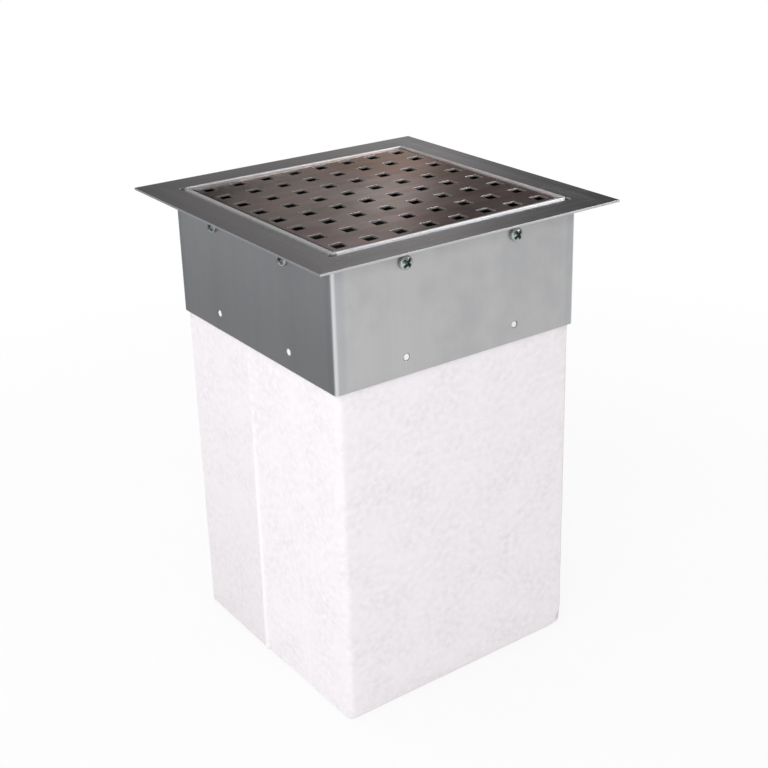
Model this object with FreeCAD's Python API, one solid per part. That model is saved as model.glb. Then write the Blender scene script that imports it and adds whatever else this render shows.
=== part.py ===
import FreeCAD, Part
import math
import os

# Catch basin: a stainless flange with a raised collar and a loose perforated grate, screwed to a
# folded sheet sleeve that is pushed over a soakaway block wrapped in white filter cloth.
# Millimetres, +Z up, origin at the middle of the block's underside.

# Soakaway block and its cloth
core_width = 200.0
core_height = 300.0
core_edge_radius = 3.0
wrap_thickness = 2.0
lap_offset = 11.0            # from the middle of the -X side to the cloth's free edge
lap_rise = 1.0               # height of the step at the free edge
lap_end_gap = 4.0            # the lap stops this far from the sleeve and from the bottom edge
bottom_chamfer = 1.5         # the cloth's bottom edge, pressed flat

# Sleeve, folded from one strip and closed by a butt weld
sleeve_sheet = 1.5
sleeve_bend_radius = 2.0     # inside the bend
sleeve_height = 92.5
sleeve_overlap = 46.0        # how far the sleeve reaches down over the block
sleeve_clearance = 0.25      # between the cloth and the sleeve, on each side
seam_width = 3.0
seam_rise = 0.5

# Flange plate
flange_overhang = 21.25      # past the sleeve, on each side
flange_thickness = 1.5
cutout_clearance = 0.1       # between the collar and the flange's cut-out
relief_radius = 3.0          # round reliefs at the corners of the cut-out

# Collar, folded from one notched strip, welded through the flange
collar_sheet = 2.0
collar_bend_radius = 1.0     # inside the bend
collar_depth = 27.0          # from the flange's top to the underside of the ledge
rim_height = 1.0             # how far the collar stands proud of the flange
ledge_width = 10.0           # inwards from the collar's inner wall
mitre_gap = 1.0              # between neighbouring ledge tabs
weld_leg = 2.0
weld_length = 16.0
welds_per_side = 3

# Grate, a folded pan with a square grid of square holes
grate_sheet = 1.5
grate_bend_radius = 0.5      # inside the bend
grate_clearance = 0.25
grate_notch = 3.0            # square notch at each corner of the pan
hole_size = 10.0
hole_rows = 8                # and as many columns
hole_margin = 10.5           # from the grate's edge to the outermost hole centres

# Pan head screws and weld nuts
screw_diameter = 5.0
screw_tip_gap = 0.3          # from the screw's tip to the collar
screw_hole_clearance = 0.5
screw_spacing = 94.0
screw_edge_distance = 13.0   # from either end of the sleeve
head_diameter = 10.0
head_height = 3.8
recess_width = 1.6
recess_length = 6.4
recess_depth = 2.0
nut_width = 8.0              # across the flats
nut_height = 3.5

# Sizes that follow
wrap_width = core_width + 2 * wrap_thickness
core_bottom = wrap_thickness
core_top = core_bottom + core_height
wrap_edge_radius = core_edge_radius + wrap_thickness

sleeve_inner = wrap_width + 2 * sleeve_clearance
sleeve_outer = sleeve_inner + 2 * sleeve_sheet
sleeve_outer_radius = sleeve_bend_radius + sleeve_sheet
sleeve_bottom = core_top - sleeve_overlap
sleeve_top = sleeve_bottom + sleeve_height

flange_width = sleeve_outer + 2 * flange_overhang
flange_top = sleeve_top + flange_thickness

collar_outer = sleeve_inner - 2 * nut_height
collar_inner = collar_outer - 2 * collar_sheet
collar_outer_radius = collar_bend_radius + collar_sheet
collar_bottom = flange_top - collar_depth
ledge_top = collar_bottom + collar_sheet
collar_top = flange_top + rim_height

grate_width = collar_inner - 2 * (collar_bend_radius + grate_clearance)
grate_outer_radius = grate_bend_radius + grate_sheet

screw_length = sleeve_sheet + nut_height - screw_tip_gap
screw_hole_radius = (screw_diameter + screw_hole_clearance) / 2
upper_screw_height = sleeve_top - screw_edge_distance
lower_hole_height = sleeve_bottom + screw_edge_distance

up = FreeCAD.Vector(0, 0, 1)
right = FreeCAD.Vector(1, 0, 0)
origin = FreeCAD.Vector(0, 0, 0)
quarter_turns = (0, 90, 180, 270)


def block(width, depth, bottom, top):
    # A square-edged block centred on the upright axis.
    corner = FreeCAD.Vector(-width / 2, -depth / 2, bottom)
    return Part.makeBox(width, depth, top - bottom, corner)


def upright_edges(shape):
    return [edge for edge in shape.Edges if abs(edge.tangentAt(edge.FirstParameter).z) > 0.99]


def rounded_block(width, radius, bottom, top):
    # A square block with round upright edges.
    shape = block(width, width, bottom, top)
    return shape.makeFillet(radius, upright_edges(shape))


def turned(shape, degrees):
    # A copy turned about the upright axis.
    copy = shape.copy()
    copy.rotate(origin, up, degrees)
    return copy


def on_four_sides(shape):
    return [turned(shape, degrees) for degrees in quarter_turns]


def fused(shapes):
    whole = shapes[0].fuse(shapes[1:])
    return whole.removeSplitter()


def prism(points, direction):
    # A flat outline of straight lines, swept along a direction.
    outline = Part.makePolygon(points + points[:1])
    return Part.Face(outline).extrude(direction)


def screw_axes(height):
    # Points on the +X side where the two screws of a side cross the upright YZ plane.
    return [FreeCAD.Vector(0, side * screw_spacing / 2, height) for side in (-1, 1)]


def cross_holes(height):
    # Two round bars along X on the +X side, repeated on the four sides.
    bars = []
    for place in screw_axes(height):
        bar = Part.makeCylinder(screw_hole_radius, sleeve_outer, place, right)
        bars.extend(on_four_sides(bar))
    return bars


def make_core_block():
    # Pressed mineral wool block with softly broken upright edges.
    return rounded_block(core_width, core_edge_radius, core_bottom, core_top)


def make_geotextile_wrap():
    # A cloth bag round the sides and the bottom of the block, with a lapped closing edge on -X.
    outer = rounded_block(wrap_width, wrap_edge_radius, 0, core_top)
    rim = [edge for edge in outer.Edges if edge.BoundBox.ZMax < core_bottom]
    outer = outer.makeChamfer(bottom_chamfer, rim)
    face = -wrap_width / 2
    lap_bottom = wrap_edge_radius + lap_end_gap
    lap_top = sleeve_bottom - lap_end_gap
    flat_end = wrap_width / 2 - wrap_edge_radius
    inside = face + wrap_thickness / 2
    lap = prism(
        [
            FreeCAD.Vector(inside, lap_offset, lap_bottom),
            FreeCAD.Vector(face - lap_rise, lap_offset, lap_bottom),
            FreeCAD.Vector(face, flat_end, lap_bottom),
            FreeCAD.Vector(inside, flat_end, lap_bottom),
        ],
        up * (lap_top - lap_bottom),
    )
    return fused([outer, lap]).cut(make_core_block())


def make_sleeve():
    # A folded square tube with two screw holes near the top and two near the bottom of each side.
    tube = rounded_block(sleeve_outer, sleeve_outer_radius, sleeve_bottom, sleeve_top)
    bore = rounded_block(sleeve_inner, sleeve_bend_radius, sleeve_bottom, sleeve_top)
    half = seam_width / 2
    back = sleeve_outer / 2
    start = FreeCAD.Vector(-half, back, sleeve_bottom)
    crown = FreeCAD.Vector(0, back + seam_rise, sleeve_bottom)
    end = FreeCAD.Vector(half, back, sleeve_bottom)
    root = FreeCAD.Vector(0, back - sleeve_sheet / 2, sleeve_bottom)
    bead_outline = Part.Wire(
        [
            Part.Arc(start, crown, end).toShape(),
            Part.makeLine(end, root),
            Part.makeLine(root, start),
        ]
    )
    bead = Part.Face(bead_outline).extrude(up * sleeve_height)
    walls = fused([tube.cut(bore), bead])
    return walls.cut(cross_holes(upper_screw_height) + cross_holes(lower_hole_height))


def make_flange_plate():
    # A flat plate with a square cut-out that has round reliefs at its corners.
    plate = block(flange_width, flange_width, sleeve_top, flange_top)
    cutout_width = collar_outer + 2 * cutout_clearance
    cutout = block(cutout_width, cutout_width, sleeve_top, flange_top)
    corner = FreeCAD.Vector(cutout_width / 2, cutout_width / 2, sleeve_top)
    relief = Part.makeCylinder(relief_radius, flange_thickness, corner)
    return plate.cut([cutout] + on_four_sides(relief))


def make_ledge_tab():
    # One fold of the collar on +X: a quarter bend and a flat tab with mitred ends.
    outside = collar_outer / 2
    tangent = outside - collar_outer_radius
    bend_height = collar_bottom + collar_outer_radius
    straight = collar_outer - 2 * collar_outer_radius - mitre_gap
    axis_start = FreeCAD.Vector(tangent, -straight / 2, bend_height)
    along = FreeCAD.Vector(0, 1, 0)
    bend = Part.makeCylinder(collar_outer_radius, straight, axis_start, along)
    hollow = Part.makeCylinder(collar_bend_radius, straight, axis_start, along)
    quarter = Part.makeBox(
        collar_outer_radius,
        straight,
        collar_outer_radius,
        FreeCAD.Vector(tangent, -straight / 2, collar_bottom),
    )
    bend = bend.cut(hollow).common(quarter)
    tip = collar_inner / 2 - ledge_width
    mitre = mitre_gap / 2
    tab = prism(
        [
            FreeCAD.Vector(tangent, -tangent + mitre, collar_bottom),
            FreeCAD.Vector(tangent, tangent - mitre, collar_bottom),
            FreeCAD.Vector(tip, tip - mitre, collar_bottom),
            FreeCAD.Vector(tip, -tip + mitre, collar_bottom),
        ],
        up * collar_sheet,
    )
    return fused([bend, tab])


def make_stitch_welds():
    # Short fillet welds on +X, in the corner between the collar and the flange's underside.
    foot = collar_outer / 2
    gap = screw_spacing / (welds_per_side - 1)
    welds = []
    for number in range(welds_per_side):
        start = (number - (welds_per_side - 1) / 2) * gap - weld_length / 2
        welds.append(
            prism(
                [
                    FreeCAD.Vector(foot, start, sleeve_top),
                    FreeCAD.Vector(foot + weld_leg, start, sleeve_top),
                    FreeCAD.Vector(foot, start, sleeve_top - weld_leg),
                ],
                FreeCAD.Vector(0, weld_length, 0),
            )
        )
    return welds


def make_collar():
    # The raised square ring that carries the grate on its folded ledge.
    wall_bottom = collar_bottom + collar_outer_radius
    ring = rounded_block(collar_outer, collar_outer_radius, wall_bottom, collar_top)
    ring = ring.cut(rounded_block(collar_inner, collar_bend_radius, wall_bottom, collar_top))
    pieces = [ring] + on_four_sides(make_ledge_tab())
    for weld in make_stitch_welds():
        pieces.extend(on_four_sides(weld))
    return fused(pieces)


def make_grate():
    # A pan folded down on four sides, which stands on the collar's ledge, flush with the flange.
    half = grate_width / 2
    length = grate_width - 2 * grate_notch
    bend_axis = half - grate_outer_radius
    bend_height = flange_top - grate_outer_radius
    start = -length / 2
    deck = block(length, 2 * bend_axis, flange_top - grate_sheet, flange_top)
    deck = deck.fuse(turned(deck, 90))
    skirt = Part.makeBox(
        grate_sheet,
        length,
        bend_height - ledge_top,
        FreeCAD.Vector(half - grate_sheet, start, ledge_top),
    )
    axis_start = FreeCAD.Vector(bend_axis, start, bend_height)
    along = FreeCAD.Vector(0, 1, 0)
    bend = Part.makeCylinder(grate_outer_radius, length, axis_start, along)
    bend = bend.cut(Part.makeCylinder(grate_bend_radius, length, axis_start, along))
    bend = bend.common(
        Part.makeBox(grate_outer_radius, length, grate_outer_radius, axis_start)
    )
    pan = fused([deck] + on_four_sides(skirt) + on_four_sides(bend))
    return pan.cut(make_grate_holes())


def make_grate_holes():
    # A square grid of square holes, centred on the deck.
    pitch = (grate_width - 2 * hole_margin) / (hole_rows - 1)
    first = -pitch * (hole_rows - 1) / 2 - hole_size / 2
    holes = []
    for row in range(hole_rows):
        for column in range(hole_rows):
            corner = FreeCAD.Vector(
                first + row * pitch, first + column * pitch, flange_top - grate_sheet
            )
            holes.append(Part.makeBox(hole_size, hole_size, grate_sheet, corner))
    return holes


def make_screw():
    # A pan head screw along X, with its head's underside on the +X side of the sleeve.
    seat = sleeve_outer / 2
    tip = FreeCAD.Vector(seat - screw_length, 0, 0)
    shank = Part.makeCylinder(screw_diameter / 2, screw_length, tip, right)
    head = Part.makeCylinder(head_diameter / 2, head_height, FreeCAD.Vector(seat, 0, 0), right)
    slots = []
    for wide, high in ((recess_length, recess_width), (recess_width, recess_length)):
        corner = FreeCAD.Vector(seat + head_height - recess_depth, -wide / 2, -high / 2)
        slots.append(Part.makeBox(recess_depth, wide, high, corner))
    return head.cut(slots).fuse(shank).removeSplitter()


def make_weld_nut():
    # A hexagon nut along X that fills the gap between the collar and the sleeve.
    reach = nut_width / math.sqrt(3)
    corners = []
    for number in range(6):
        angle = math.radians(60 * number)
        corners.append(
            FreeCAD.Vector(collar_outer / 2, reach * math.cos(angle), reach * math.sin(angle))
        )
    blank = prism(corners, right * nut_height)
    bore_start = FreeCAD.Vector(collar_outer / 2, 0, 0)
    return blank.cut(Part.makeCylinder(screw_diameter / 2, nut_height, bore_start, right))


def on_screw_axes(shape):
    # Eight separate copies, two on each side.
    copies = []
    for place in screw_axes(upper_screw_height):
        copy = shape.copy()
        copy.translate(place)
        copies.extend(on_four_sides(copy))
    return Part.makeCompound(copies)


nodes = {
    "core_block": make_core_block(),
    "geotextile_wrap": make_geotextile_wrap(),
    "sleeve": make_sleeve(),
    "flange_plate": make_flange_plate(),
    "collar": make_collar(),
    "grate": make_grate(),
    "sleeve_screws": on_screw_axes(make_screw()),
    "weld_nuts": on_screw_axes(make_weld_nut()),
}

os.makedirs("parts", exist_ok=True)
for name, shape in nodes.items():
    shape.exportStep(f"parts/{name}.step")
    print(name, len(shape.Solids), shape.isValid(), round(shape.Volume), shape.BoundBox)
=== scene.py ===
import math

import bmesh
import bpy
import numpy as np
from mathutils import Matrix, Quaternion, Vector


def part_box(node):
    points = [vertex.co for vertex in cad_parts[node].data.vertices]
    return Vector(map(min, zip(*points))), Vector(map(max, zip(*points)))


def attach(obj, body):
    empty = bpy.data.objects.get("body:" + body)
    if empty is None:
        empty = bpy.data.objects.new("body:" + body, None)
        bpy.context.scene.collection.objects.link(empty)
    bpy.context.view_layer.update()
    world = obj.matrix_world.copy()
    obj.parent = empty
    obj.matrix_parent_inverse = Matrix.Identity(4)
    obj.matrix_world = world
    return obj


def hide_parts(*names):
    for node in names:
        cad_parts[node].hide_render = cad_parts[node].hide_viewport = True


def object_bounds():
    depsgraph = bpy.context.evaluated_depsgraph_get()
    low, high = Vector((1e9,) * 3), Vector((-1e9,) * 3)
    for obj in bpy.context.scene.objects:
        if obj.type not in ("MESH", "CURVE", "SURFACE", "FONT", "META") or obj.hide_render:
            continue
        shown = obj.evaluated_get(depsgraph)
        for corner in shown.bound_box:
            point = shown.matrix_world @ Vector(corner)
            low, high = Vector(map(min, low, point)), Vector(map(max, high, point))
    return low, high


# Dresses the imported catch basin: brushed steel on the metal nodes, a filter cloth round the block,
# finer screws, and a white studio. Metres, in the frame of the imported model.

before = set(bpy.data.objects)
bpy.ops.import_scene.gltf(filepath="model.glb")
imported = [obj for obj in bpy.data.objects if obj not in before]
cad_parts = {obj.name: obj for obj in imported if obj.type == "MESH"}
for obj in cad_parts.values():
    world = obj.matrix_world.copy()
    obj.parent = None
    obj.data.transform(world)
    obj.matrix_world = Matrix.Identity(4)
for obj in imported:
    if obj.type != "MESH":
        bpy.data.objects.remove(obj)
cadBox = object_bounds()
print("frame loaded,", len(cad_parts), "nodes")


# Small helpers for node trees

def addNode(tree, kind, inputs=None, **settings):
    # inputs holds socket names or numbers, each with a value or with the socket to link from
    node = tree.nodes.new(kind)
    for name, value in settings.items():
        setattr(node, name, value)
    for name, value in (inputs or {}).items():
        if isinstance(value, bpy.types.NodeSocket):
            tree.links.new(value, node.inputs[name])
        else:
            node.inputs[name].default_value = value
    return node


def mathNode(tree, operation, first, second, clamp=False):
    values = {0: first, 1: second}
    return addNode(tree, "ShaderNodeMath", values, operation=operation, use_clamp=clamp).outputs[0]


def absolute(tree, value):
    return mathNode(tree, "ABSOLUTE", value, 0.0)


def dotProduct(tree, first, second):
    values = {0: first, 1: second}
    return addNode(tree, "ShaderNodeVectorMath", values, operation="DOT_PRODUCT").outputs["Value"]


def objectPlace(tree):
    return addNode(tree, "ShaderNodeTexCoord").outputs["Object"]


def partsOf(tree, vector):
    return addNode(tree, "ShaderNodeSeparateXYZ", {"Vector": vector}).outputs


def attributeOf(tree, name):
    return addNode(tree, "ShaderNodeAttribute", attribute_name=name).outputs["Fac"]


def mixColour(tree, factor, first, second, blend="MIX"):
    values = {0: factor, 6: first, 7: second}
    node = addNode(tree, "ShaderNodeMix", values, data_type="RGBA", blend_type=blend)
    return node.outputs[2]


def mapped(tree, value, low, high, toLow, toHigh):
    # a value carried from one range to another, kept inside the second
    values = {"Value": value, "From Min": low, "From Max": high, "To Min": toLow, "To Max": toHigh}
    return addNode(tree, "ShaderNodeMapRange", values).outputs[0]


def noise(tree, coordinates, scale, detail=2.0, roughness=0.5):
    values = {"Vector": coordinates, "Scale": scale, "Detail": detail, "Roughness": roughness}
    return addNode(tree, "ShaderNodeTexNoise", values).outputs[0]


def stretched(tree, coordinates, scale, turn=0.0):
    values = {"Vector": coordinates, "Scale": scale, "Rotation": (0.0, 0.0, turn)}
    return addNode(tree, "ShaderNodeMapping", values).outputs[0]


def newGroup(name, inputs, outputs):
    group = bpy.data.node_groups.new(name, "ShaderNodeTree")
    for label, kind in inputs.items():
        group.interface.new_socket(name=label, in_out="INPUT", socket_type=kind)
    for label, kind in outputs.items():
        group.interface.new_socket(name=label, in_out="OUTPUT", socket_type=kind)
    return group, group.nodes.new("NodeGroupInput").outputs, group.nodes.new("NodeGroupOutput").inputs


def useGroup(tree, group, inputs):
    return addNode(tree, "ShaderNodeGroup", inputs, node_tree=group).outputs


def newMaterial(name):
    material = bpy.data.materials.new(name)
    material.use_nodes = True
    tree = material.node_tree
    return material, tree, tree.nodes["Principled BSDF"]


def dress(node, material):
    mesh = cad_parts[node].data
    mesh.materials.clear()
    mesh.materials.append(material)


# Small helpers for meshes

def gridFaces(rows, columns):
    # Quads between neighbouring rows and columns, with the last column joined to the first.
    row, column = np.meshgrid(np.arange(rows - 1), np.arange(columns), indexing="ij")
    after = (column + 1) % columns
    upper = row * columns
    lower = upper + columns
    quads = [upper + column, upper + after, lower + after, lower + column]
    return np.stack(quads, -1).reshape(-1, 4)


def meshFrom(name, points, faces):
    mesh = bpy.data.meshes.new(name)
    mesh.from_pydata(points.tolist(), [], faces.tolist())
    mesh.polygons.foreach_set("use_smooth", np.ones(len(faces), bool))
    mesh.update()
    return mesh


def setValues(mesh, name, values):
    # one number for each point, which a material can read by its name
    layer = mesh.attributes.new(name, "FLOAT", "POINT")
    layer.data.foreach_set("value", values.astype(np.float32).ravel())


poleGap = 4e-6


def closePoles(mesh):
    # The points of each ring that has shrunk to a pole become one point.
    body = bmesh.new()
    body.from_mesh(mesh)
    bmesh.ops.remove_doubles(body, verts=body.verts, dist=poleGap)
    body.to_mesh(mesh)
    body.free()


def addPiece(name, mesh):
    piece = bpy.data.objects.new(name, mesh)
    bpy.context.scene.collection.objects.link(piece)
    return piece


# Camera, set to the photograph's viewing angle

cameraSetup = {
    "eye": (-0.5296, -0.7697, 0.6148),
    "heading": (0.5620, 0.7409, -0.3678),
    "rollDegrees": -0.75,
    "lens": 62.98,
    "shift": (-0.0643, -0.0731),
}


def makeCamera(setup):
    # looks along the heading, with its up side level, then rolls about that line
    data = bpy.data.cameras.new("studioCamera")
    data.lens = setup["lens"]
    data.shift_x, data.shift_y = setup["shift"]
    camera = bpy.data.objects.new("studioCamera", data)
    camera.location = setup["eye"]
    level = Vector(setup["heading"]).to_track_quat("-Z", "Y")
    roll = Quaternion((0.0, 0.0, 1.0), math.radians(setup["rollDegrees"]))
    camera.rotation_mode = "QUATERNION"
    camera.rotation_quaternion = level @ roll
    bpy.context.scene.collection.objects.link(camera)
    bpy.context.scene.camera = camera


makeCamera(cameraSetup)
print("camera set")


# Shared surface effects

brushSetup = {"lineScale": 1.0, "lineDetail": 4.0, "lineRoughness": 0.65, "bandScale": 0.11}
smudgeSetup = {"smaller": 4.3, "shown": (0.18, 0.36)}
edgeSetup = {"samples": 4, "turn": (0.995, 0.8)}
fibreSetup = {
    "turns": (0.4, 1.5, 2.6),
    "stretch": (1.0, 9.0, 5.0),
    "threadRoughness": 0.55,
    "threads": (0.58, 0.72),
    "clumpScale": 0.9,
    "clumpRoughness": 0.6,
}


def makeBrushMarks(setup):
    # Noise on coordinates that the material squeezes across the brushing: hairlines and wider bands.
    group, given, out = newGroup(
        "brushMarks",
        {"Coordinates": "NodeSocketVector"},
        {"Hairline": "NodeSocketFloat", "Band": "NodeSocketFloat"},
    )
    fine = (setup["lineScale"], setup["lineDetail"], setup["lineRoughness"])
    hairline = noise(group, given["Coordinates"], *fine)
    band = noise(group, given["Coordinates"], setup["bandScale"])
    group.links.new(hairline, out["Hairline"])
    group.links.new(band, out["Band"])
    return group


def makeSmudges(setup):
    # Soft clouds of two sizes multiplied, as handling leaves on bare steel.
    group, given, out = newGroup(
        "smudges",
        {"Position": "NodeSocketVector", "Scale": "NodeSocketFloat"},
        {"Mask": "NodeSocketFloat"},
    )
    large = noise(group, given["Position"], given["Scale"], 1.0)
    smallScale = mathNode(group, "MULTIPLY", given["Scale"], setup["smaller"])
    small = noise(group, given["Position"], smallScale, 3.0)
    clouds = mathNode(group, "MULTIPLY", large, small)
    group.links.new(mapped(group, clouds, *setup["shown"], 0.0, 1.0), out["Mask"])
    return group


def makeEdgeRound(setup):
    # The surface's normal averaged over a small radius, and how far it turns there, which marks edges.
    group, given, out = newGroup(
        "edgeRound",
        {"Radius": "NodeSocketFloat"},
        {"Normal": "NodeSocketVector", "Edge": "NodeSocketFloat"},
    )
    rounding = addNode(group, "ShaderNodeBevel", {"Radius": given["Radius"]}, samples=setup["samples"])
    bevel = rounding.outputs[0]
    plain = addNode(group, "ShaderNodeNewGeometry").outputs["Normal"]
    turn = dotProduct(group, bevel, plain)
    group.links.new(bevel, out["Normal"])
    group.links.new(mapped(group, turn, *setup["turn"], 0.0, 1.0), out["Edge"])
    return group


def makeFibres(setup):
    # Three layers of stretched noise, turned against each other and sharpened to threads, plus clumps.
    group, given, out = newGroup(
        "fibres",
        {"Coordinates": "NodeSocketVector", "Scale": "NodeSocketFloat"},
        {"Thread": "NodeSocketFloat", "Clump": "NodeSocketFloat"},
    )
    threads = None
    for turn in setup["turns"]:
        lying = stretched(group, given["Coordinates"], setup["stretch"], turn)
        layer = noise(group, lying, given["Scale"], 2.0, setup["threadRoughness"])
        layer = mapped(group, layer, *setup["threads"], 0.0, 1.0)
        threads = layer if threads is None else mathNode(group, "MAXIMUM", threads, layer)
    clumpScale = mathNode(group, "MULTIPLY", given["Scale"], setup["clumpScale"])
    clump = noise(group, given["Coordinates"], clumpScale, 4.0, setup["clumpRoughness"])
    group.links.new(threads, out["Thread"])
    group.links.new(clump, out["Clump"])
    return group


def makeInsideShade():
    # Mask for painted shade: 1 below a height on surfaces that lean off the outward direction. Facing
    # limits the dot product of the two, so that -0.3 leaves inner walls, 0.5 all but outer walls, and 2
    # everything.
    group, given, out = newGroup(
        "insideShade",
        {"Position": "NodeSocketVector", "Below": "NodeSocketFloat", "Facing": "NodeSocketFloat"},
        {"Mask": "NodeSocketFloat"},
    )
    rise = partsOf(group, given["Position"])["Z"]
    low = mathNode(group, "LESS_THAN", rise, given["Below"])
    level = {0: given["Position"], 1: (1.0, 1.0, 0.0)}
    flat = addNode(group, "ShaderNodeVectorMath", level, operation="MULTIPLY").outputs[0]
    outwards = addNode(group, "ShaderNodeVectorMath", {0: flat}, operation="NORMALIZE").outputs[0]
    normal = addNode(group, "ShaderNodeNewGeometry").outputs["True Normal"]
    inner = mathNode(group, "LESS_THAN", dotProduct(group, outwards, normal), given["Facing"])
    group.links.new(mathNode(group, "MULTIPLY", low, inner), out["Mask"])
    return group


brushMarks = makeBrushMarks(brushSetup)
smudges = makeSmudges(smudgeSetup)
edgeRound = makeEdgeRound(edgeSetup)
fibres = makeFibres(fibreSetup)
insideShade = makeInsideShade()
print("shared effects made")


# Brushed steel on the CAD nodes

steelFinishes = {
    "sleeve": {
        "dark": (0.535, 0.533, 0.534, 1.0),
        "light": (0.590, 0.585, 0.584, 1.0),
        "cut": (0.72, 0.72, 0.73, 1.0),
        "brushing": (420.0, 420.0, 7.0),
        "roughness": (0.30, 0.36),
        "bump": 0.05,
        "edgeRadius": 0.0004,
        "wornAndHighlit": "bends",
        "cutGrain": 0.0,
        "shadeBelow": 1.0,
        "shadeFacing": -0.3,
        "tarnishAndReflection": False,
        "arch": 0.0,
        "edgeTint": (1.0, 1.0, 1.0, 1.0),
    },
    "flange_plate": {
        "dark": (0.435, 0.425, 0.43, 1.0),
        "light": (0.64, 0.63, 0.635, 1.0),
        "cut": (0.67, 0.67, 0.68, 1.0),
        "brushing": "alongEachSide",
        "roughness": (0.14, 0.24),
        "bump": 0.12,
        "edgeRadius": 0.0004,
        "wornAndHighlit": 0.0,
        "cutGrain": 0.3,
        "shadeBelow": 0.0,
        "shadeFacing": -0.3,
        "tarnishAndReflection": False,
        "arch": 0.0,
        "edgeTint": (1.0, 1.0, 1.0, 1.0),
    },
    "collar": {
        "dark": (0.84, 0.84, 0.85, 1.0),
        "light": (0.94, 0.94, 0.94, 1.0),
        "cut": (0.94, 0.94, 0.94, 1.0),
        "brushing": (14.0, 14.0, 900.0),
        "roughness": (0.34, 0.42),
        "bump": 0.08,
        "edgeRadius": 0.0009,
        "wornAndHighlit": 0.3495,
        "cutGrain": 0.1,
        "shadeBelow": 0.3490,
        "shadeFacing": 0.5,
        "tarnishAndReflection": False,
        "arch": 0.0,
        "edgeTint": (1.0, 1.0, 1.0, 1.0),
    },
    "grate": {
        "dark": (0.64, 0.595, 0.58, 1.0),
        "light": (0.93, 0.87, 0.85, 1.0),
        "cut": (0.70, 0.66, 0.64, 1.0),
        "brushing": (11.0, 700.0, 700.0),
        "roughness": (0.10, 0.18),
        "bump": 0.06,
        "edgeRadius": 0.0004,
        "wornAndHighlit": 0.3484,
        "cutGrain": 0.3,
        "shadeBelow": 0.3486,
        "shadeFacing": 2.0,
        "tarnishAndReflection": True,
        "arch": 1.0,
        "edgeTint": (1.0, 0.89, 0.84, 1.0),
    },
}
steelSetup = {
    "tones": (0.3, 0.7),
    "lineTones": (0.25, 0.75),
    "smudgeScale": 16.0,
    "smudgeTint": (0.945, 0.955, 0.97, 1.0),
    "smudgeRoughness": 0.06,
    "insideShadeTint": (0.10, 0.095, 0.09, 1.0),
    "insideShadeRoughness": 0.6,
    "bumpDistance": 0.0001,
    "uprightFace": (0.3, 0.7),
    "bentFace": (0.15, 0.5),
}
sideBrushing = {"alongX": (8.0, 760.0, 760.0), "alongY": (760.0, 8.0, 760.0)}
bendMarks = {
    "start": 0.0935,
    "fade": 0.0035,
    "strip": (0.92, 0.94, 0.96, 1.0),
    "line": 0.0007,
    "lineShare": 0.35,
}
flangeShade = {"start": 0.332, "end": 0.348, "tint": (0.81, 0.81, 0.815, 1.0)}
archAcross = (0.707, -0.707, 0.0)
# tints towards the grate's corners: partly tarnish colour, partly painted reflection
tarnishAndReflectionClouds = (
    {"towards": (-0.71, 0.71, 0.0), "start": 0.0, "full": 0.07, "tint": (0.84, 0.855, 0.885, 1.0)},
    {"towards": (-0.71, 0.71, 0.0), "start": 0.078, "full": 0.125, "tint": (0.12, 0.125, 0.135, 1.0)},
    {"towards": (0.71, -0.71, 0.0), "start": 0.0, "full": 0.08, "tint": (0.84, 0.755, 0.755, 1.0)},
    {"towards": (0.71, 0.71, 0.0), "start": 0.01, "full": 0.09, "tint": (0.84, 0.69, 0.60, 1.0)},
    {"towards": (-0.71, -0.71, 0.0), "start": 0.03, "full": 0.10, "tint": (0.70, 0.69, 0.70, 1.0)},
    {"towards": (0.0, 0.0, 0.0), "start": 0.0, "full": 0.03, "tint": (0.84, 0.87, 0.83, 1.0)},
)
tarnishNoise = {
    "driftScale": 22.0,
    "drift": (0.2, 0.8, -0.036, 0.036),
    "hueScale": 31.0,
    "hues": (0.35, 0.65),
    "rosy": (1.0, 0.93, 0.965, 1.0),
    "green": (0.945, 0.98, 0.945, 1.0),
}


def brushingCoordinates(tree, position, brushing):
    # One squeeze all over, or along the nearest side of a square: X where |y| is larger, Y elsewhere.
    if brushing != "alongEachSide":
        return stretched(tree, position, brushing)
    parts = partsOf(tree, position)
    onXSide = mathNode(tree, "GREATER_THAN", absolute(tree, parts["X"]), absolute(tree, parts["Y"]))
    alongX = stretched(tree, position, sideBrushing["alongX"])
    alongY = stretched(tree, position, sideBrushing["alongY"])
    values = {0: onXSide, 4: alongX, 5: alongY}
    return addNode(tree, "ShaderNodeMix", values, data_type="VECTOR").outputs[1]


def cutFaces(tree, position, above):
    # 1 on faces that stand upright above a height, which are cut edges on a flat plate.
    normal = addNode(tree, "ShaderNodeNewGeometry").outputs["True Normal"]
    upright = partsOf(tree, normal)["Z"]
    standing = mapped(tree, absolute(tree, upright), *steelSetup["uprightFace"], 1.0, 0.0)
    rise = partsOf(tree, position)["Z"]
    return mathNode(tree, "MULTIPLY", standing, mathNode(tree, "GREATER_THAN", rise, above))


def tarnishedWithReflection(tree, position, colour, patches, clouds):
    # Patches between two hues, then tints that grow towards one corner each, partly tarnish colour and
    # partly painted reflection of darker surroundings: a place's dot product with the direction, plus
    # noise, tells how far it has gone.
    drift = mapped(tree, noise(tree, position, patches["driftScale"], 3.0), *patches["drift"])
    hue = mapped(tree, noise(tree, position, patches["hueScale"]), *patches["hues"], 0.0, 1.0)
    stain = mixColour(tree, hue, patches["rosy"], patches["green"])
    colour = mixColour(tree, 1.0, colour, stain, "MULTIPLY")
    for cloud in clouds:
        reach = mathNode(tree, "ADD", dotProduct(tree, position, cloud["towards"]), drift)
        amount = mapped(tree, reach, cloud["start"], cloud["full"], 0.0, 1.0)
        colour = mixColour(tree, amount, colour, cloud["tint"], "MULTIPLY")
    return colour


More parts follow.
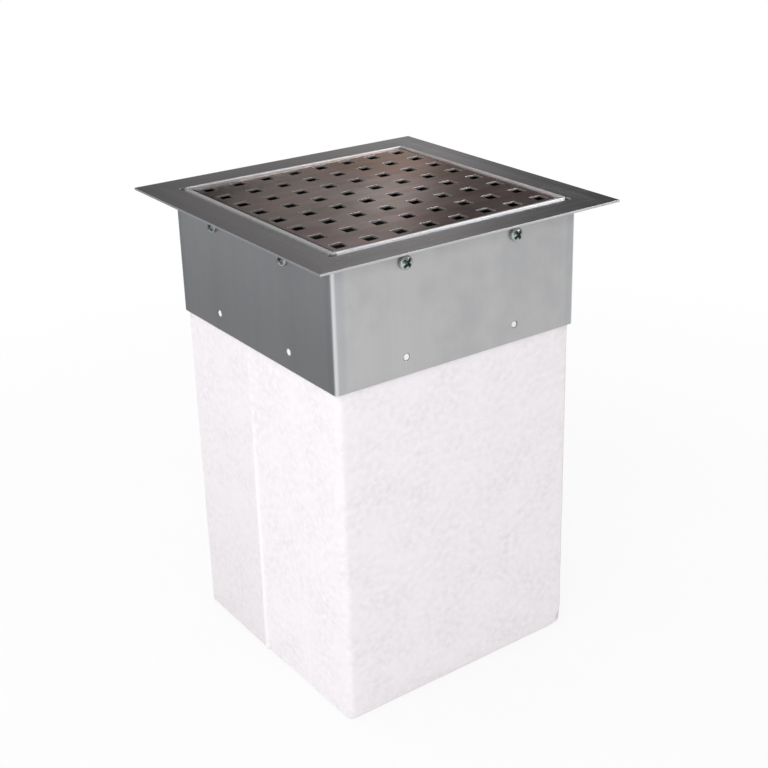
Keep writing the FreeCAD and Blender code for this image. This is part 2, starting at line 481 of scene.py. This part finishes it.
def arched(tree, position, arch, normal):
    # Thin sheet that bows a little from corner to corner: its height falls with the square of the
    # distance from one diagonal.
    away = dotProduct(tree, position, archAcross)
    height = mathNode(tree, "MULTIPLY", mathNode(tree, "MULTIPLY", away, away), -arch)
    shape = {"Strength": 1.0, "Distance": 1.0, "Height": height, "Normal": normal}
    return addNode(tree, "ShaderNodeBump", shape).outputs[0]


def bentFaces(tree):
    # 1 where a wall turns from X to Y, from how far its normal leans off both axes.
    normal = addNode(tree, "ShaderNodeNewGeometry").outputs["Normal"]
    parts = partsOf(tree, normal)
    lean = mathNode(tree, "MINIMUM", absolute(tree, parts["X"]), absolute(tree, parts["Y"]))
    return mapped(tree, lean, *steelSetup["bentFace"], 0.0, 1.0)


def bendStrips(tree, position, colour, light, marks):
    # A darker strip beside each bend, ended by a pale line: the smaller of |x| and |y| tells how near the
    # bend is, on every wall.
    parts = partsOf(tree, position)
    smaller = mathNode(tree, "MINIMUM", absolute(tree, parts["X"]), absolute(tree, parts["Y"]))
    strip = mapped(tree, smaller, marks["start"], marks["start"] + marks["fade"], 0.0, 1.0)
    colour = mixColour(tree, strip, colour, marks["strip"], "MULTIPLY")
    off = absolute(tree, mathNode(tree, "SUBTRACT", smaller, marks["start"]))
    line = mapped(tree, off, 0.0, marks["line"], marks["lineShare"], 0.0)
    return mixColour(tree, line, colour, light)


def shadedAbove(tree, position, colour, shade):
    # Painted shade under the flange: it grows from a start height to an end height.
    rise = partsOf(tree, position)["Z"]
    amount = mapped(tree, rise, shade["start"], shade["end"], 0.0, 1.0)
    return mixColour(tree, amount, colour, shade["tint"], "MULTIPLY")


def makeSteel(node, finish):
    # Tone follows bands, hairlines and smudges, roughness the hairlines and smudges. Edges are rounded
    # and paler, partly as wear and partly as painted highlight; bends get a painted highlight, and cut
    # faces are paler and rough. Surfaces inside get painted shade, as does the sleeve under the flange.
    material, tree, surface = newMaterial(node + "Steel")
    position = objectPlace(tree)
    brushed = brushingCoordinates(tree, position, finish["brushing"])
    marks = useGroup(tree, brushMarks, {"Coordinates": brushed})
    handled = useGroup(tree, smudges, {"Position": position, "Scale": steelSetup["smudgeScale"]})
    edges = useGroup(tree, edgeRound, {"Radius": finish["edgeRadius"]})
    bandTone = mapped(tree, marks["Band"], *steelSetup["tones"], 0.0, 0.5)
    lineTone = mapped(tree, marks["Hairline"], *steelSetup["lineTones"], 0.0, 0.5)
    colour = mixColour(tree, mathNode(tree, "ADD", bandTone, lineTone), finish["dark"], finish["light"])
    colour = mixColour(tree, handled["Mask"], colour, steelSetup["smudgeTint"], "MULTIPLY")
    grain = mapped(tree, marks["Hairline"], *steelSetup["tones"], *finish["roughness"])
    grease = mathNode(tree, "MULTIPLY", handled["Mask"], steelSetup["smudgeRoughness"])
    grain = mathNode(tree, "ADD", grain, grease)
    if finish["tarnishAndReflection"]:
        colour = tarnishedWithReflection(tree, position, colour, tarnishNoise, tarnishAndReflectionClouds)
    # paler edges: partly wear, partly painted highlight
    wornAndHighlit = edges["Edge"]
    if finish["wornAndHighlit"] == "bends":
        colour = bendStrips(tree, position, colour, finish["light"], bendMarks)
        # painted shade on the sleeve under the flange
        colour = shadedAbove(tree, position, colour, flangeShade)
        # painted highlight along the sleeve's bends
        wornAndHighlit = mathNode(tree, "MAXIMUM", wornAndHighlit, bentFaces(tree))
    else:
        cut = cutFaces(tree, position, finish["wornAndHighlit"])
        grain = mathNode(tree, "ADD", grain, mathNode(tree, "MULTIPLY", cut, finish["cutGrain"]))
        wornAndHighlit = mathNode(tree, "MAXIMUM", wornAndHighlit, cut)
    colour = mixColour(tree, wornAndHighlit, colour, finish["cut"])
    # painted shade on the surfaces inside, which are also dulled
    place = {"Position": position, "Below": finish["shadeBelow"], "Facing": finish["shadeFacing"]}
    shadedInside = useGroup(tree, insideShade, place)["Mask"]
    colour = mixColour(tree, shadedInside, colour, steelSetup["insideShadeTint"], "MULTIPLY")
    dull = mathNode(tree, "MULTIPLY", shadedInside, steelSetup["insideShadeRoughness"])
    grain = mathNode(tree, "MAXIMUM", grain, dull)
    tree.links.new(colour, surface.inputs["Base Color"])
    tree.links.new(grain, surface.inputs["Roughness"])
    shape = edges["Normal"]
    if finish["arch"]:
        shape = arched(tree, position, finish["arch"], shape)
    lines = {
        "Strength": finish["bump"],
        "Distance": steelSetup["bumpDistance"],
        "Height": marks["Hairline"],
        "Normal": shape,
    }
    tree.links.new(addNode(tree, "ShaderNodeBump", lines).outputs[0], surface.inputs["Normal"])
    surface.inputs["Metallic"].default_value = 1.0
    surface.inputs["Specular Tint"].default_value = finish["edgeTint"]
    return material


for steelNode, steelFinish in steelFinishes.items():
    dress(steelNode, makeSteel(steelNode, steelFinish))
print("steel dressed")


# Zinc on the nuts and screws

zincFinish = {
    "pale": (0.62, 0.66, 0.64, 1.0),
    "dull": (0.30, 0.35, 0.34, 1.0),
    "recessShade": (0.09, 0.11, 0.11, 1.0),
    "roughness": (0.16, 0.30),
    "crystalScale": 900.0,
    "crystalTones": (0.1, 0.8, 0.4, 1.0),
    "cloudScale": 260.0,
    "clouds": (0.3, 0.7),
    "cloudTones": (0.3, 1.0),
}


def makeZinc(name, finish, hasRecess):
    # Small crystals of two greys; the recess attribute paints shade into the bottom of the cross.
    material, tree, surface = newMaterial(name)
    position = objectPlace(tree)
    cells = {"Vector": position, "Scale": finish["crystalScale"]}
    crystals = addNode(tree, "ShaderNodeTexVoronoi", cells).outputs["Distance"]
    cloud = noise(tree, position, finish["cloudScale"], 3.0)
    crystalTone = mapped(tree, crystals, *finish["crystalTones"])
    cloudTone = mapped(tree, cloud, *finish["clouds"], *finish["cloudTones"])
    tone = mathNode(tree, "MULTIPLY", crystalTone, cloudTone)
    colour = mixColour(tree, tone, finish["dull"], finish["pale"])
    if hasRecess:
        colour = mixColour(tree, attributeOf(tree, "recessShade"), colour, finish["recessShade"])
    grain = mapped(tree, cloud, *finish["clouds"], *finish["roughness"])
    tree.links.new(colour, surface.inputs["Base Color"])
    tree.links.new(grain, surface.inputs["Roughness"])
    surface.inputs["Metallic"].default_value = 1.0
    return material


dress("weld_nuts", makeZinc("nutZinc", zincFinish, False))


# Sleeve screws: pan heads with a cross recess

screwSetup = {
    "spacing": 0.094,
    "shankRadius": 0.0025,
    "shankLength": 0.0047,
    "tipRadius": 0.002,
    "tipHeight": 0.0005,
    "poleRadius": 1e-6,
    "edgeHeight": 0.0012,
    "edgeStart": 0.00018,
    "underHead": 0.96,
    "domeRows": 60,
    "domeFullness": 0.8,
    "recessLength": 0.0068,
    "recessWidth": 0.0018,
    "recessDepth": 0.0020,
    "recessTaper": 0.0006,
    "anglesDegrees": (12.0, 51.0, 33.0, 70.0, 44.0, 36.0, 47.0, 39.0),
    "segments": 96,
}


def makeScrews(setup):
    # A profile of radius against height turned about each screw's axis. The head is a straight edge and
    # a quarter of an ellipse; the cross sinks where a point lies inside one of two crossed bars.
    low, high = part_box("sleeve_screws")
    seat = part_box("sleeve")[1].x
    headRadius = (high.z - low.z) / 2
    headHeight = high.x - seat
    height = (high.z + low.z) / 2
    edge = setup["edgeHeight"]
    sweep = np.linspace(0.0, math.pi / 2, setup["domeRows"])[1:-1]
    domeRadius = headRadius * np.cos(sweep)
    domeHeight = edge + (headHeight - edge) * np.sin(sweep) ** setup["domeFullness"]
    pole = setup["poleRadius"]
    shank = setup["shankRadius"]
    under = headRadius * setup["underHead"]
    sideRadius = [pole, setup["tipRadius"], shank, shank, under, headRadius, headRadius]
    tip = -setup["shankLength"]
    sideRise = [tip, tip, tip + setup["tipHeight"], 0.0, 0.0, setup["edgeStart"], edge]
    radius = np.concatenate([sideRadius, domeRadius, [pole]])
    rise = np.concatenate([sideRise, domeHeight, [headHeight]])
    turn = np.linspace(0.0, 2 * math.pi, setup["segments"], endpoint=False)
    flatX = radius[:, None] * np.cos(turn)
    flatY = radius[:, None] * np.sin(turn)
    longHalf = setup["recessLength"] / 2
    wideHalf = setup["recessWidth"] / 2
    overX = np.maximum(np.abs(flatX) - longHalf, np.abs(flatY) - wideHalf)
    overY = np.maximum(np.abs(flatY) - longHalf, np.abs(flatX) - wideHalf)
    inside = np.clip(-np.minimum(overX, overY) / setup["recessTaper"] + 0.5, 0.0, 1.0)
    onDome = (np.arange(len(radius)) >= len(sideRadius))[:, None]
    sunk = inside * onDome
    out = rise[:, None] - sunk * setup["recessDepth"]
    side = np.repeat(np.arange(4), 2) * math.pi / 2
    along = np.tile([-0.5, 0.5], 4) * setup["spacing"]
    axis = np.stack([np.cos(side), np.sin(side), 0 * side], -1)
    across = np.stack([-np.sin(side), np.cos(side), 0 * side], -1)
    middle = axis * seat + across * along[:, None] + np.array([0.0, 0.0, height])
    twist = np.radians(setup["anglesDegrees"])[:, None, None]
    level = flatX * np.cos(twist) - flatY * np.sin(twist)
    upright = flatX * np.sin(twist) + flatY * np.cos(twist)
    points = middle[:, None, None, :] + axis[:, None, None, :] * out[None, :, :, None]
    points = points + across[:, None, None, :] * level[..., None]
    points[..., 2] += upright
    rows, columns = out.shape
    faces = gridFaces(rows, columns)
    count = len(side)
    start = np.arange(count) * rows * columns
    faces = (faces[None] + start[:, None, None]).reshape(-1, 4)
    mesh = meshFrom("sleeveScrews", points.reshape(-1, 3), faces)
    # where the cross sinks, which the zinc paints dark as shade
    setValues(mesh, "recessShade", np.tile(sunk.ravel(), count))
    closePoles(mesh)
    return addPiece("sleeveScrews", mesh)


screws = makeScrews(screwSetup)
screws.data.materials.append(makeZinc("screwZinc", zincFinish, True))
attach(screws, "root")
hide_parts("sleeve_screws")
print("screws made,", len(screws.data.polygons), "faces")


# Filter cloth: one sheet folded round the block, with its free edge lapped on the -X side

clothSetup = {
    "thickness": 0.0019,
    "cornerRadius": 0.005,
    "bottomRadius": 0.0025,
    "lapOffset": 0.011,
    "lapRise": 0.0009,
    "lapStep": 0.0014,
    "lapLoose": 0.21,
    "lapCurl": 0.0011,
    "lapPressed": 0.12,
    "lapSide": (0.004, 0.003),
    "lapDarkening": (0.6, 0.25),
    "ridgeSharp": 0.6,
    "ridgeGrows": 3.0,
    "pressedUnderSleeve": 0.012,
    "wave": 0.00028,
    "waveLengths": (0.025, 0.110),
    "waveCount": 14,
    "slackCorner": 0.0014,
    "slackReach": 0.010,
    "slackTowards": (-0.6, 0.6, 0.5),
    "creaseDepth": 0.0006,
    "creaseWidth": 0.0016,
    "holeSpacing": 0.094,
    "holeRise": 0.269,
    "holeSwell": 0.0017,
    "holeReach": 0.0026,
    "holeSharp": 16,
    "sideColumns": 44,
    "lapColumns": 13,
    "lapReach": 1.8,
    "cornerColumns": 9,
    "holeSpan": 0.0028,
    "holeLines": 15,
    "wallRows": 70,
    "edgeRows": 7,
    "baseRows": 18,
    "poleShare": 1e-5,
    "flatSize": (0.892, 0.404),
    "seed": 7,
}


def holeLines(setup):
    # Evenly spaced lines across one of the sleeve's empty holes.
    return np.linspace(-setup["holeSpan"], setup["holeSpan"], setup["holeLines"])


def squareLoop(half, radius, setup):
    # Points and outward directions round a square with quarter circles at its corners, as one side
    # turned four times. Columns crowd together at the lapped edge and behind the sleeve's holes.
    reach = half - radius
    lapReach = setup["lapReach"] * setup["lapStep"]
    coarse = np.linspace(-reach, reach, setup["sideColumns"])
    fine = np.linspace(-lapReach, lapReach, setup["lapColumns"]) - setup["lapOffset"]
    hole = setup["holeSpacing"] / 2 + holeLines(setup)
    straight = np.unique(np.concatenate([coarse, fine, hole, -hole]))
    bend = np.linspace(0.0, math.pi / 2, setup["cornerColumns"])[1:-1]
    along = np.concatenate([straight, reach + radius * np.sin(bend)])
    out = np.concatenate([np.full(len(straight), half), reach + radius * np.cos(bend)])
    leanAlong = np.concatenate([0 * straight, np.sin(bend)])
    leanOut = np.concatenate([0 * straight + 1, np.cos(bend)])
    turn = np.arange(4)[:, None] * math.pi / 2
    x = out * np.cos(turn) - along * np.sin(turn)
    y = out * np.sin(turn) + along * np.cos(turn)
    leanX = leanOut * np.cos(turn) - leanAlong * np.sin(turn)
    leanY = leanOut * np.sin(turn) + leanAlong * np.cos(turn)
    return x.ravel(), y.ravel(), leanX.ravel(), leanY.ravel()


def softWave(across, down, setup):
    # A sum of sine waves of random length, direction and phase.
    random = np.random.default_rng(setup["seed"])
    count = setup["waveCount"]
    length = random.uniform(*setup["waveLengths"], count)
    heading = random.uniform(0.0, math.pi, count)
    phase = random.uniform(0.0, 2 * math.pi, count)
    swing = across[..., None] * np.cos(heading) + down[..., None] * np.sin(heading)
    return np.sin(2 * math.pi * swing / length + phase).mean(-1) * 2


def makeCloth(setup):
    # Rows run down the walls, round the bottom edge and in to the middle of the base; columns run round
    # the block. Each point moves along its normal by the lap, which curls up towards the bottom, by a
    # soft wave and by the swell at the holes. Then the slack corner moves, and creases lift off the base.
    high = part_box("geotextile_wrap")[1]
    half = high.x
    top = high.z
    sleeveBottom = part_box("sleeve")[0].z
    bottomRadius = setup["bottomRadius"]
    x, y, leanX, leanY = squareLoop(half, setup["cornerRadius"], setup)
    holeRows = setup["holeRise"] + holeLines(setup)
    evenRows = np.linspace(top, bottomRadius, setup["wallRows"])
    wallZ = np.unique(np.concatenate([evenRows, holeRows]))[::-1]
    curl = np.linspace(0.0, math.pi / 2, setup["edgeRows"])[1:]
    rowZ = np.concatenate([wallZ, bottomRadius * (1 - np.sin(curl))])
    rowInset = np.concatenate([0 * wallZ, bottomRadius * (1 - np.cos(curl))])
    rowTilt = np.concatenate([0 * wallZ, curl])
    shrink = np.concatenate([np.ones(len(rowZ)), np.linspace(1.0, 0.0, setup["baseRows"])[1:]])
    baseRows = len(shrink) - len(rowZ)
    rowZ = np.concatenate([rowZ, np.zeros(baseRows)])
    rowInset = np.concatenate([rowInset, np.full(baseRows, bottomRadius)])
    rowTilt = np.concatenate([rowTilt, np.full(baseRows, math.pi / 2)])
    shrink = np.maximum(shrink, setup["poleShare"])[:, None]
    px = (x - leanX * rowInset[:, None]) * shrink
    py = (y - leanY * rowInset[:, None]) * shrink
    pz = rowZ[:, None] + 0 * px
    wall = np.cos(rowTilt)[:, None]
    normal = np.stack([leanX * wall, leanY * wall, 0 * px - np.sin(rowTilt)[:, None]], -1)
    step = np.hypot(np.roll(x, -1) - x, np.roll(y, -1) - y)
    across = np.concatenate([[0.0], np.cumsum(step)])
    fall = np.hypot(np.diff(rowZ), np.diff(rowInset) + half * -np.diff(shrink[:, 0]))
    down = np.concatenate([[0.0], np.cumsum(fall)])
    free = np.clip((sleeveBottom - pz) / setup["pressedUnderSleeve"], 0.0, 1.0)
    sideStart, sideFade = setup["lapSide"]
    onLapSide = np.clip((-px - half + sideStart) / sideFade, 0.0, 1.0)
    fromEdge = (py - setup["lapOffset"]) / setup["lapStep"]
    lapSpan = half - setup["cornerRadius"] - setup["lapOffset"]
    lapSlope = np.clip(1 - (py - setup["lapOffset"]) / lapSpan, 0.0, 1.0)
    lap = setup["lapRise"] * np.clip(fromEdge + 0.5, 0.0, 1.0) * lapSlope * onLapSide * wall
    loose = np.clip(1 - pz / setup["lapLoose"], 0.0, 1.0) * onLapSide * wall
    lap = lap + setup["lapCurl"] * np.exp(-(fromEdge**2)) * loose
    sideways = np.minimum(np.abs(px), np.abs(py)) - setup["holeSpacing"] / 2
    fromHole = np.hypot(sideways, pz - setup["holeRise"]) / setup["holeReach"]
    swell = setup["holeSwell"] * np.exp(-(fromHole ** setup["holeSharp"])) * wall
    wave = setup["wave"] * softWave(across[:-1] + 0 * px, down[:, None] + 0 * px, setup) * wall
    pressed = setup["lapPressed"]
    raised = lap * (pressed + (1 - pressed) * free) + wave * free + swell
    points = np.stack([px, py, pz], -1) + normal * raised[..., None]
    slackPlace = np.array([half, -half, 0.0])
    slackAway = np.linalg.norm(points - slackPlace, axis=-1)
    slack = setup["slackCorner"] * np.exp(-((slackAway / setup["slackReach"]) ** 2))
    points = points + slack[..., None] * np.array(setup["slackTowards"])
    crease = np.exp(-(((np.abs(px) - np.abs(py)) / setup["creaseWidth"]) ** 2))
    onBase = (np.arange(len(rowTilt)) >= len(rowTilt) - baseRows - 1)[:, None]
    points[..., 2] += setup["creaseDepth"] * crease * (1 - wall) * onBase
    points[..., 2] = np.maximum(points[..., 2], 0.0)
    rows, columns = px.shape
    faces = gridFaces(rows, columns)[:, ::-1]
    mesh = meshFrom("filterCloth", points.reshape(-1, 3), faces)
    row, column = np.meshgrid(np.arange(rows - 1), np.arange(columns), indexing="ij")
    cornerColumn = np.stack([column, column + 1, column + 1, column], -1)[..., ::-1]
    cornerRow = np.stack([row, row, row + 1, row + 1], -1)[..., ::-1]
    unwrapped = np.stack([across[cornerColumn], -down[cornerRow]], -1)
    layer = mesh.uv_layers.new(name="clothMetres")
    layer.data.foreach_set("uv", unwrapped.astype(np.float32).ravel())
    # the lapped layer's own tone, plus painted shade that grows towards the bottom
    dullStart, dullShare = setup["lapDarkening"]
    dull = dullShare * onLapSide * wall + (1 - dullShare) * loose
    setValues(mesh, "lapToneAndShade", np.clip(fromEdge - dullStart, 0.0, 1.0) * dull)
    # painted highlight along the crest of the lapped edge, near the bottom
    ridgeHighlight = np.exp(-setup["ridgeSharp"] * fromEdge**2) * np.minimum(setup["ridgeGrows"] * loose, 1.0)
    setValues(mesh, "lapRidgeHighlight", ridgeHighlight)
    closePoles(mesh)
    cloth = addPiece("filterCloth", mesh)
    solid = cloth.modifiers.new("thickness", "SOLIDIFY")
    solid.thickness = setup["thickness"]
    solid.offset = -1.0
    return cloth


feltFinish = {
    "white": (0.915, 0.882, 0.905, 1.0),
    "grey": (0.80, 0.765, 0.80, 1.0),
    "thread": (0.74, 0.71, 0.725, 1.0),
    "lap": (0.915, 0.91, 0.905, 1.0),
    "ridgeHighlight": (0.935, 0.912, 0.925, 1.0),
    "cornerShade": (0.34, 0.30, 0.28, 1.0),
    "shadedCornerPlace": (0.1015, -0.1015, 0.006),
    "cornerShadeFade": (0.002, 0.008, 0.8, 0.0),
    "cornerShadeRagged": 0.003,
    "threadScale": 260.0,
    "threadShare": 0.2,
    "threadHeight": 0.4,
    "clumps": (0.4, 0.7, 0.0, 0.6),
    "mottleScale": 190.0,
    "mottle": (0.35, 0.7, 0.0, 0.7),
    "patchScale": 34.0,
    "patches": (0.3, 0.7, 0.3, 1.0),
    "roughness": (0.3, 0.7, 0.88, 1.0),
    "bump": 0.22,
    "bumpDistance": 0.0003,
    "specular": 0.15,
    "sheen": 0.08,
}


def makeFelt(finish):
    # White felt: clumps and a coarser mottle darken it a little, single threads cross it, and clumps and
    # threads raise the surface. The lapped layer has its own duller tone plus painted shade that grows
    # towards the bottom, its edge carries a painted highlight, and one bottom corner has painted shade
    # that fades with the distance from it.
    material, tree, surface = newMaterial("needledFelt")
    unwrapped = addNode(tree, "ShaderNodeUVMap", uv_map="clothMetres").outputs["UV"]
    felt = useGroup(tree, fibres, {"Coordinates": unwrapped, "Scale": finish["threadScale"]})
    patches = mapped(tree, noise(tree, unwrapped, finish["patchScale"], 3.0), *finish["patches"])
    clumps = mathNode(tree, "MULTIPLY", mapped(tree, felt["Clump"], *finish["clumps"]), patches)
    mottle = mapped(tree, noise(tree, unwrapped, finish["mottleScale"]), *finish["mottle"])
    clumps = mathNode(tree, "ADD", clumps, mathNode(tree, "MULTIPLY", mottle, patches), True)
    colour = mixColour(tree, clumps, finish["white"], finish["grey"])
    threads = mathNode(tree, "MULTIPLY", felt["Thread"], finish["threadShare"])
    colour = mixColour(tree, threads, colour, finish["thread"])
    colour = mixColour(tree, attributeOf(tree, "lapToneAndShade"), colour, finish["lap"], "MULTIPLY")
    colour = mixColour(tree, attributeOf(tree, "lapRidgeHighlight"), colour, finish["ridgeHighlight"])
    position = objectPlace(tree)
    # painted shade at one bottom corner, fading with the distance from it
    places = {0: position, 1: finish["shadedCornerPlace"]}
    away = addNode(tree, "ShaderNodeVectorMath", places, operation="DISTANCE").outputs["Value"]
    ragged = mathNode(tree, "MULTIPLY", clumps, finish["cornerShadeRagged"])
    cornerShaded = mapped(tree, mathNode(tree, "ADD", away, ragged), *finish["cornerShadeFade"])
    colour = mixColour(tree, cornerShaded, colour, finish["cornerShade"], "MULTIPLY")
    tree.links.new(colour, surface.inputs["Base Color"])
    tree.links.new(mapped(tree, felt["Clump"], *finish["roughness"]), surface.inputs["Roughness"])
    lifted = mathNode(tree, "MULTIPLY", felt["Thread"], finish["threadHeight"])
    height = mathNode(tree, "ADD", felt["Clump"], lifted)
    shape = {"Strength": finish["bump"], "Distance": finish["bumpDistance"], "Height": height}
    bump = addNode(tree, "ShaderNodeBump", shape)
    tree.links.new(bump.outputs[0], surface.inputs["Normal"])
    surface.inputs["Specular IOR Level"].default_value = finish["specular"]
    surface.inputs["Sheen Weight"].default_value = finish["sheen"]
    return material


cloth = makeCloth(clothSetup)
cloth.data.materials.append(makeFelt(feltFinish))
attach(cloth, "root")
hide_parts("geotextile_wrap")
print("cloth made,", len(cloth.data.polygons), "faces")


# Mineral wool block inside the cloth

woolFinish = {
    "dark": (0.030, 0.026, 0.017, 1.0),
    "pale": (0.22, 0.19, 0.125, 1.0),
    "topDark": (0.22, 0.21, 0.20, 1.0),
    "topDarkRise": (0.296, 0.301),
    "threadScale": 240.0,
    "threadShare": 0.6,
    "clumps": (0.3, 0.7),
    "roughness": (0.85, 1.0),
    "bump": 0.6,
    "bumpDistance": 0.001,
}


def makeWool(finish):
    # The same threads as the felt, in object space, over brown-green clumps, darker on the top.
    material, tree, surface = newMaterial("mineralWool")
    position = objectPlace(tree)
    wool = useGroup(tree, fibres, {"Coordinates": position, "Scale": finish["threadScale"]})
    clumps = mapped(tree, wool["Clump"], *finish["clumps"], 0.0, 1.0)
    colour = mixColour(tree, clumps, finish["dark"], finish["pale"])
    threads = mathNode(tree, "MULTIPLY", wool["Thread"], finish["threadShare"])
    colour = mixColour(tree, threads, colour, finish["pale"])
    rise = partsOf(tree, position)["Z"]
    topDarkened = mapped(tree, rise, *finish["topDarkRise"], 0.0, 1.0)
    colour = mixColour(tree, topDarkened, colour, finish["topDark"], "MULTIPLY")
    shape = {"Strength": finish["bump"], "Distance": finish["bumpDistance"], "Height": wool["Thread"]}
    bump = addNode(tree, "ShaderNodeBump", shape)
    grain = mapped(tree, wool["Clump"], *finish["clumps"], *finish["roughness"])
    tree.links.new(colour, surface.inputs["Base Color"])
    tree.links.new(grain, surface.inputs["Roughness"])
    tree.links.new(bump.outputs[0], surface.inputs["Normal"])
    return material


dress("core_block", makeWool(woolFinish))
print("wool dressed")


# Studio: white floor, a grey wall with a pale band ahead, soft boxes, and cards for the metal to mirror

studio = {
    "floorSize": 4.4,
    "floorColour": (0.86, 0.86, 0.86, 1.0),
    "floorRoughness": 0.9,
    "floorWhite": (0.80, 1.0),
    "floorFade": (0.35, 0.90),
    "floorSlant": (0.6, 0.8, 0.0),
    "floorDim": (-0.40, -0.18, 1.0, 0.82),
    "ahead": (0.604, 0.797, 0.0),
    "right": (0.797, -0.604, 0.0),
    "wallTones": {
        -0.40: 0.06,
        -0.27: 0.08,
        -0.17: 0.19,
        -0.09: 0.23,
        -0.03: 0.33,
        0.01: 0.34,
        0.05: 0.17,
        0.11: 0.09,
        0.40: 0.06,
    },
    "wallReach": 0.5,
    "wallAhead": (0.3, 0.6),
    "wallWarmth": (1.0, 0.97, 0.965),
    "roomTone": 0.30,
    "evenTone": 0.82,
}
cards = {
    "greyCard": {
        "place": -0.25,
        "span": (-0.12, 1.2),
        "rise": (0.0, 0.6),
        "tones": (0.255, 0.405),
        "blend": (0.16, 0.25),
    },
    "rimCard": {
        "place": 1.0,
        "span": (-1.3, 0.3),
        "rise": (0.6, 2.0),
        "tones": (3.8, 4.3),
        "blend": (0.6, 2.0),
    },
}
cardColour = (0.96, 0.98, 1.02, 1.0)
softBoxes = {
    "leftBox": {"place": (-1.5, -0.5, 1.1), "size": 1.3, "watts": 5.0, "mirrored": True},
    "frontBox": {"place": (-0.9, -0.7, 0.7), "size": 0.9, "watts": 2.3, "mirrored": True},
    "topBox": {"place": (0.2, 0.3, 2.2), "size": 1.8, "watts": 6.0, "mirrored": True},
    "backBox": {"place": (-0.85, 1.7, 1.65), "size": 1.0, "watts": 2.5, "mirrored": True},
    "fillBox": {"place": (-0.10, -0.28, 0.29), "size": 0.20, "watts": 0.022, "mirrored": False},
}


def makeFloor(setup):
    # Seen by the camera, in metal or through glass, the floor is mostly white, and wholly so farther
    # out; the rest of it keeps the shadow. In metal it dims a little along one slanting direction.
    size = setup["floorSize"] / 2
    corners = np.array([(-size, -size, 0), (size, -size, 0), (size, size, 0), (-size, size, 0)], float)
    floor = addPiece("studioFloor", meshFrom("studioFloor", corners, np.array([[0, 1, 2, 3]])))
    material, tree, surface = newMaterial("studioFloor")
    surface.inputs["Base Color"].default_value = setup["floorColour"]
    surface.inputs["Roughness"].default_value = setup["floorRoughness"]
    surface.inputs["Specular IOR Level"].default_value = 0.0
    position = objectPlace(tree)
    away = addNode(tree, "ShaderNodeVectorMath", {0: position}, operation="LENGTH").outputs["Value"]
    path = addNode(tree, "ShaderNodeLightPath").outputs
    seen = mathNode(tree, "ADD", path["Is Camera Ray"], path["Is Glossy Ray"], True)
    seen = mathNode(tree, "ADD", seen, path["Is Transmission Ray"], True)
    whiter = mapped(tree, away, *setup["floorFade"], *setup["floorWhite"])
    share = mathNode(tree, "MULTIPLY", seen, whiter)
    mirrored = mapped(tree, dotProduct(tree, position, setup["floorSlant"]), *setup["floorDim"])
    strength = mathNode(tree, "MAXIMUM", path["Is Camera Ray"], mirrored)
    white = addNode(tree, "ShaderNodeEmission", {"Strength": strength})
    mix = addNode(tree, "ShaderNodeMixShader", {0: share, 1: surface.outputs[0], 2: white.outputs[0]})
    tree.links.new(mix.outputs[0], tree.nodes["Material Output"].inputs["Surface"])
    floor.data.materials.append(material)


def makeWorld(setup):
    # White to the camera and even to matt surfaces. Metal sees grey, which ahead of the camera runs in
    # tone from left to right.
    world = bpy.data.worlds.new("studioWall")
    world.use_nodes = True
    tree = world.node_tree
    heading = addNode(tree, "ShaderNodeTexCoord").outputs["Generated"]
    reach = setup["wallReach"]
    sideways = mapped(tree, dotProduct(tree, heading, setup["right"]), -reach, reach, 0.0, 1.0)
    ramp = addNode(tree, "ShaderNodeValToRGB", {"Fac": sideways})
    stops = ramp.color_ramp.elements
    while len(stops) < len(setup["wallTones"]):
        stops.new(0.5)
    for stop, (place, tone) in zip(stops, sorted(setup["wallTones"].items())):
        stop.position = (place + reach) / (2 * reach)
        stop.color = (*(tone * part for part in setup["wallWarmth"]), 1.0)
    forward = mapped(tree, dotProduct(tree, heading, setup["ahead"]), *setup["wallAhead"], 0.0, 1.0)
    room = setup["roomTone"]
    tone = mixColour(tree, forward, (room, room, room, 1.0), ramp.outputs["Color"])
    path = addNode(tree, "ShaderNodeLightPath").outputs
    even = setup["evenTone"]
    tone = mixColour(tree, path["Is Diffuse Ray"], tone, (even, even, even, 1.0))
    tone = mixColour(tree, path["Is Camera Ray"], tone, (1.0, 1.0, 1.0, 1.0))
    tree.links.new(tone, tree.nodes["Background"].inputs["Color"])
    bpy.context.scene.world = world


def makeCard(name, card):
    # An upright card in a YZ plane that only reflections see. Its tone blends from low to high.
    place = card["place"]
    near, far = card["span"]
    low, high = card["rise"]
    corners = np.array([(place, near, low), (place, far, low), (place, far, high), (place, near, high)])
    piece = addPiece(name, meshFrom(name, corners, np.array([[0, 1, 2, 3]])))
    material, tree = newMaterial(name)[:2]
    rise = partsOf(tree, objectPlace(tree))["Z"]
    tone = mapped(tree, rise, *card["blend"], *card["tones"])
    glow = addNode(tree, "ShaderNodeEmission", {"Color": cardColour, "Strength": tone})
    tree.links.new(glow.outputs[0], tree.nodes["Material Output"].inputs["Surface"])
    piece.data.materials.append(material)
    piece.visible_camera = False
    piece.visible_diffuse = False
    piece.visible_shadow = False
    piece.visible_transmission = False


def makeSoftBox(name, box, aim):
    # A square area light turned to the aim. One that is not mirrored lights matt surfaces only.
    data = bpy.data.lights.new(name, "AREA")
    data.energy = box["watts"]
    data.size = box["size"]
    lamp = bpy.data.objects.new(name, data)
    lamp.location = box["place"]
    lamp.rotation_euler = (aim - lamp.location).to_track_quat("-Z", "Y").to_euler()
    lamp.visible_glossy = box["mirrored"]
    bpy.context.scene.collection.objects.link(lamp)


makeFloor(studio)
makeWorld(studio)
for cardName, card in cards.items():
    makeCard(cardName, card)
middle = (cadBox[0] + cadBox[1]) / 2
for boxName, softBox in softBoxes.items():
    makeSoftBox(boxName, softBox, middle)
bpy.context.scene.view_settings.view_transform = "Standard"
print("studio made")
